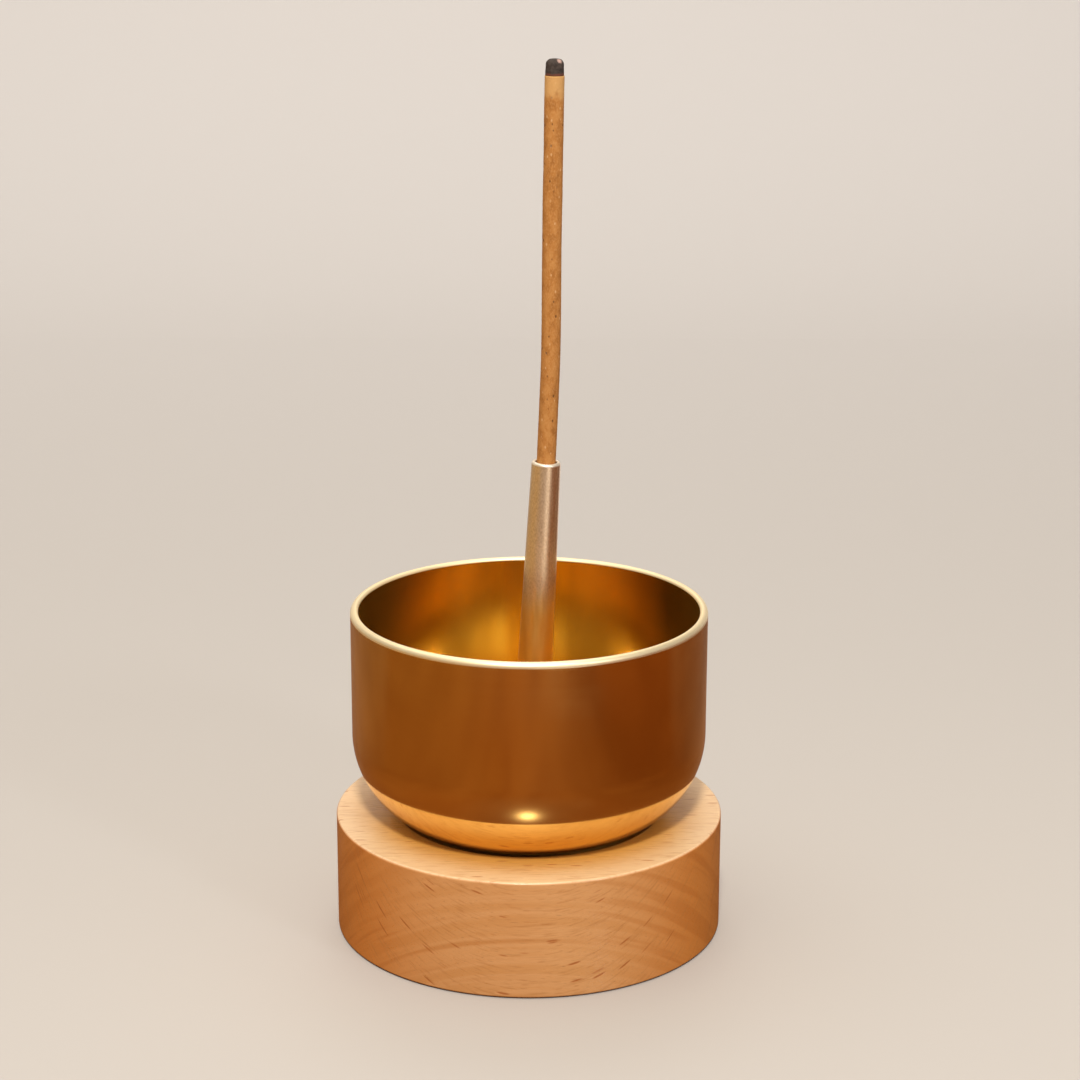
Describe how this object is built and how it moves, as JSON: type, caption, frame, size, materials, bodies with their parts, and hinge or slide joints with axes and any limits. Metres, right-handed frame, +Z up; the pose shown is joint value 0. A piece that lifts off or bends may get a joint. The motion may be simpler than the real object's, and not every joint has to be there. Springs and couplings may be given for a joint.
{
  "type": "incense burner",
  "caption": "Brass bowl on a turned wooden base, with a slim tapered brass tube standing in its middle that holds an upright incense stick.",
  "frame": {"origin": "centre of the felt pad's underside, on the surface that the burner stands on", "axes": "+Z up; +X to the right, the way the tube leans; +Y to the back"},
  "size_m": [0.0794, 0.0794, 0.1777],
  "materials": {
    "wooden_base": "satin",
    "base_pad": "felt",
    "bowl": "satin polished",
    "tube_peg": "turned",
    "peg_screw": "zinc plated",
    "screw_washer": "zinc plated",
    "incense_tube": "satin",
    "incense_stick": "matt",
    "burnt_tip": "charred"
  },
  "bodies": {
    "base": {"wooden_base": "wooden_base", "base_pad": "base_pad"},
    "bowl": {"bowl": "bowl", "tube_peg": "tube_peg", "peg_screw": "peg_screw", "screw_washer": "screw_washer"},
    "tube": {"incense_tube": "incense_tube"},
    "stick": {"incense_stick": "incense_stick", "burnt_tip": "burnt_tip"}
  },
  "joints": [
    {"name": "bowl_lift", "type": "slide", "parent": "base", "child": "bowl", "axis": [0, 0, 1], "range_m": [0, 0.03]},
    {"name": "tube_lift", "type": "slide", "parent": "bowl", "child": "tube", "axis": [0.0506, 0, 0.9987], "range_m": [0, 0.045]},
    {"name": "stick_lift", "type": "slide", "parent": "tube", "child": "stick", "axis": [0.041, 0, 0.9992], "range_m": [0, 0.065]}
  ]
}
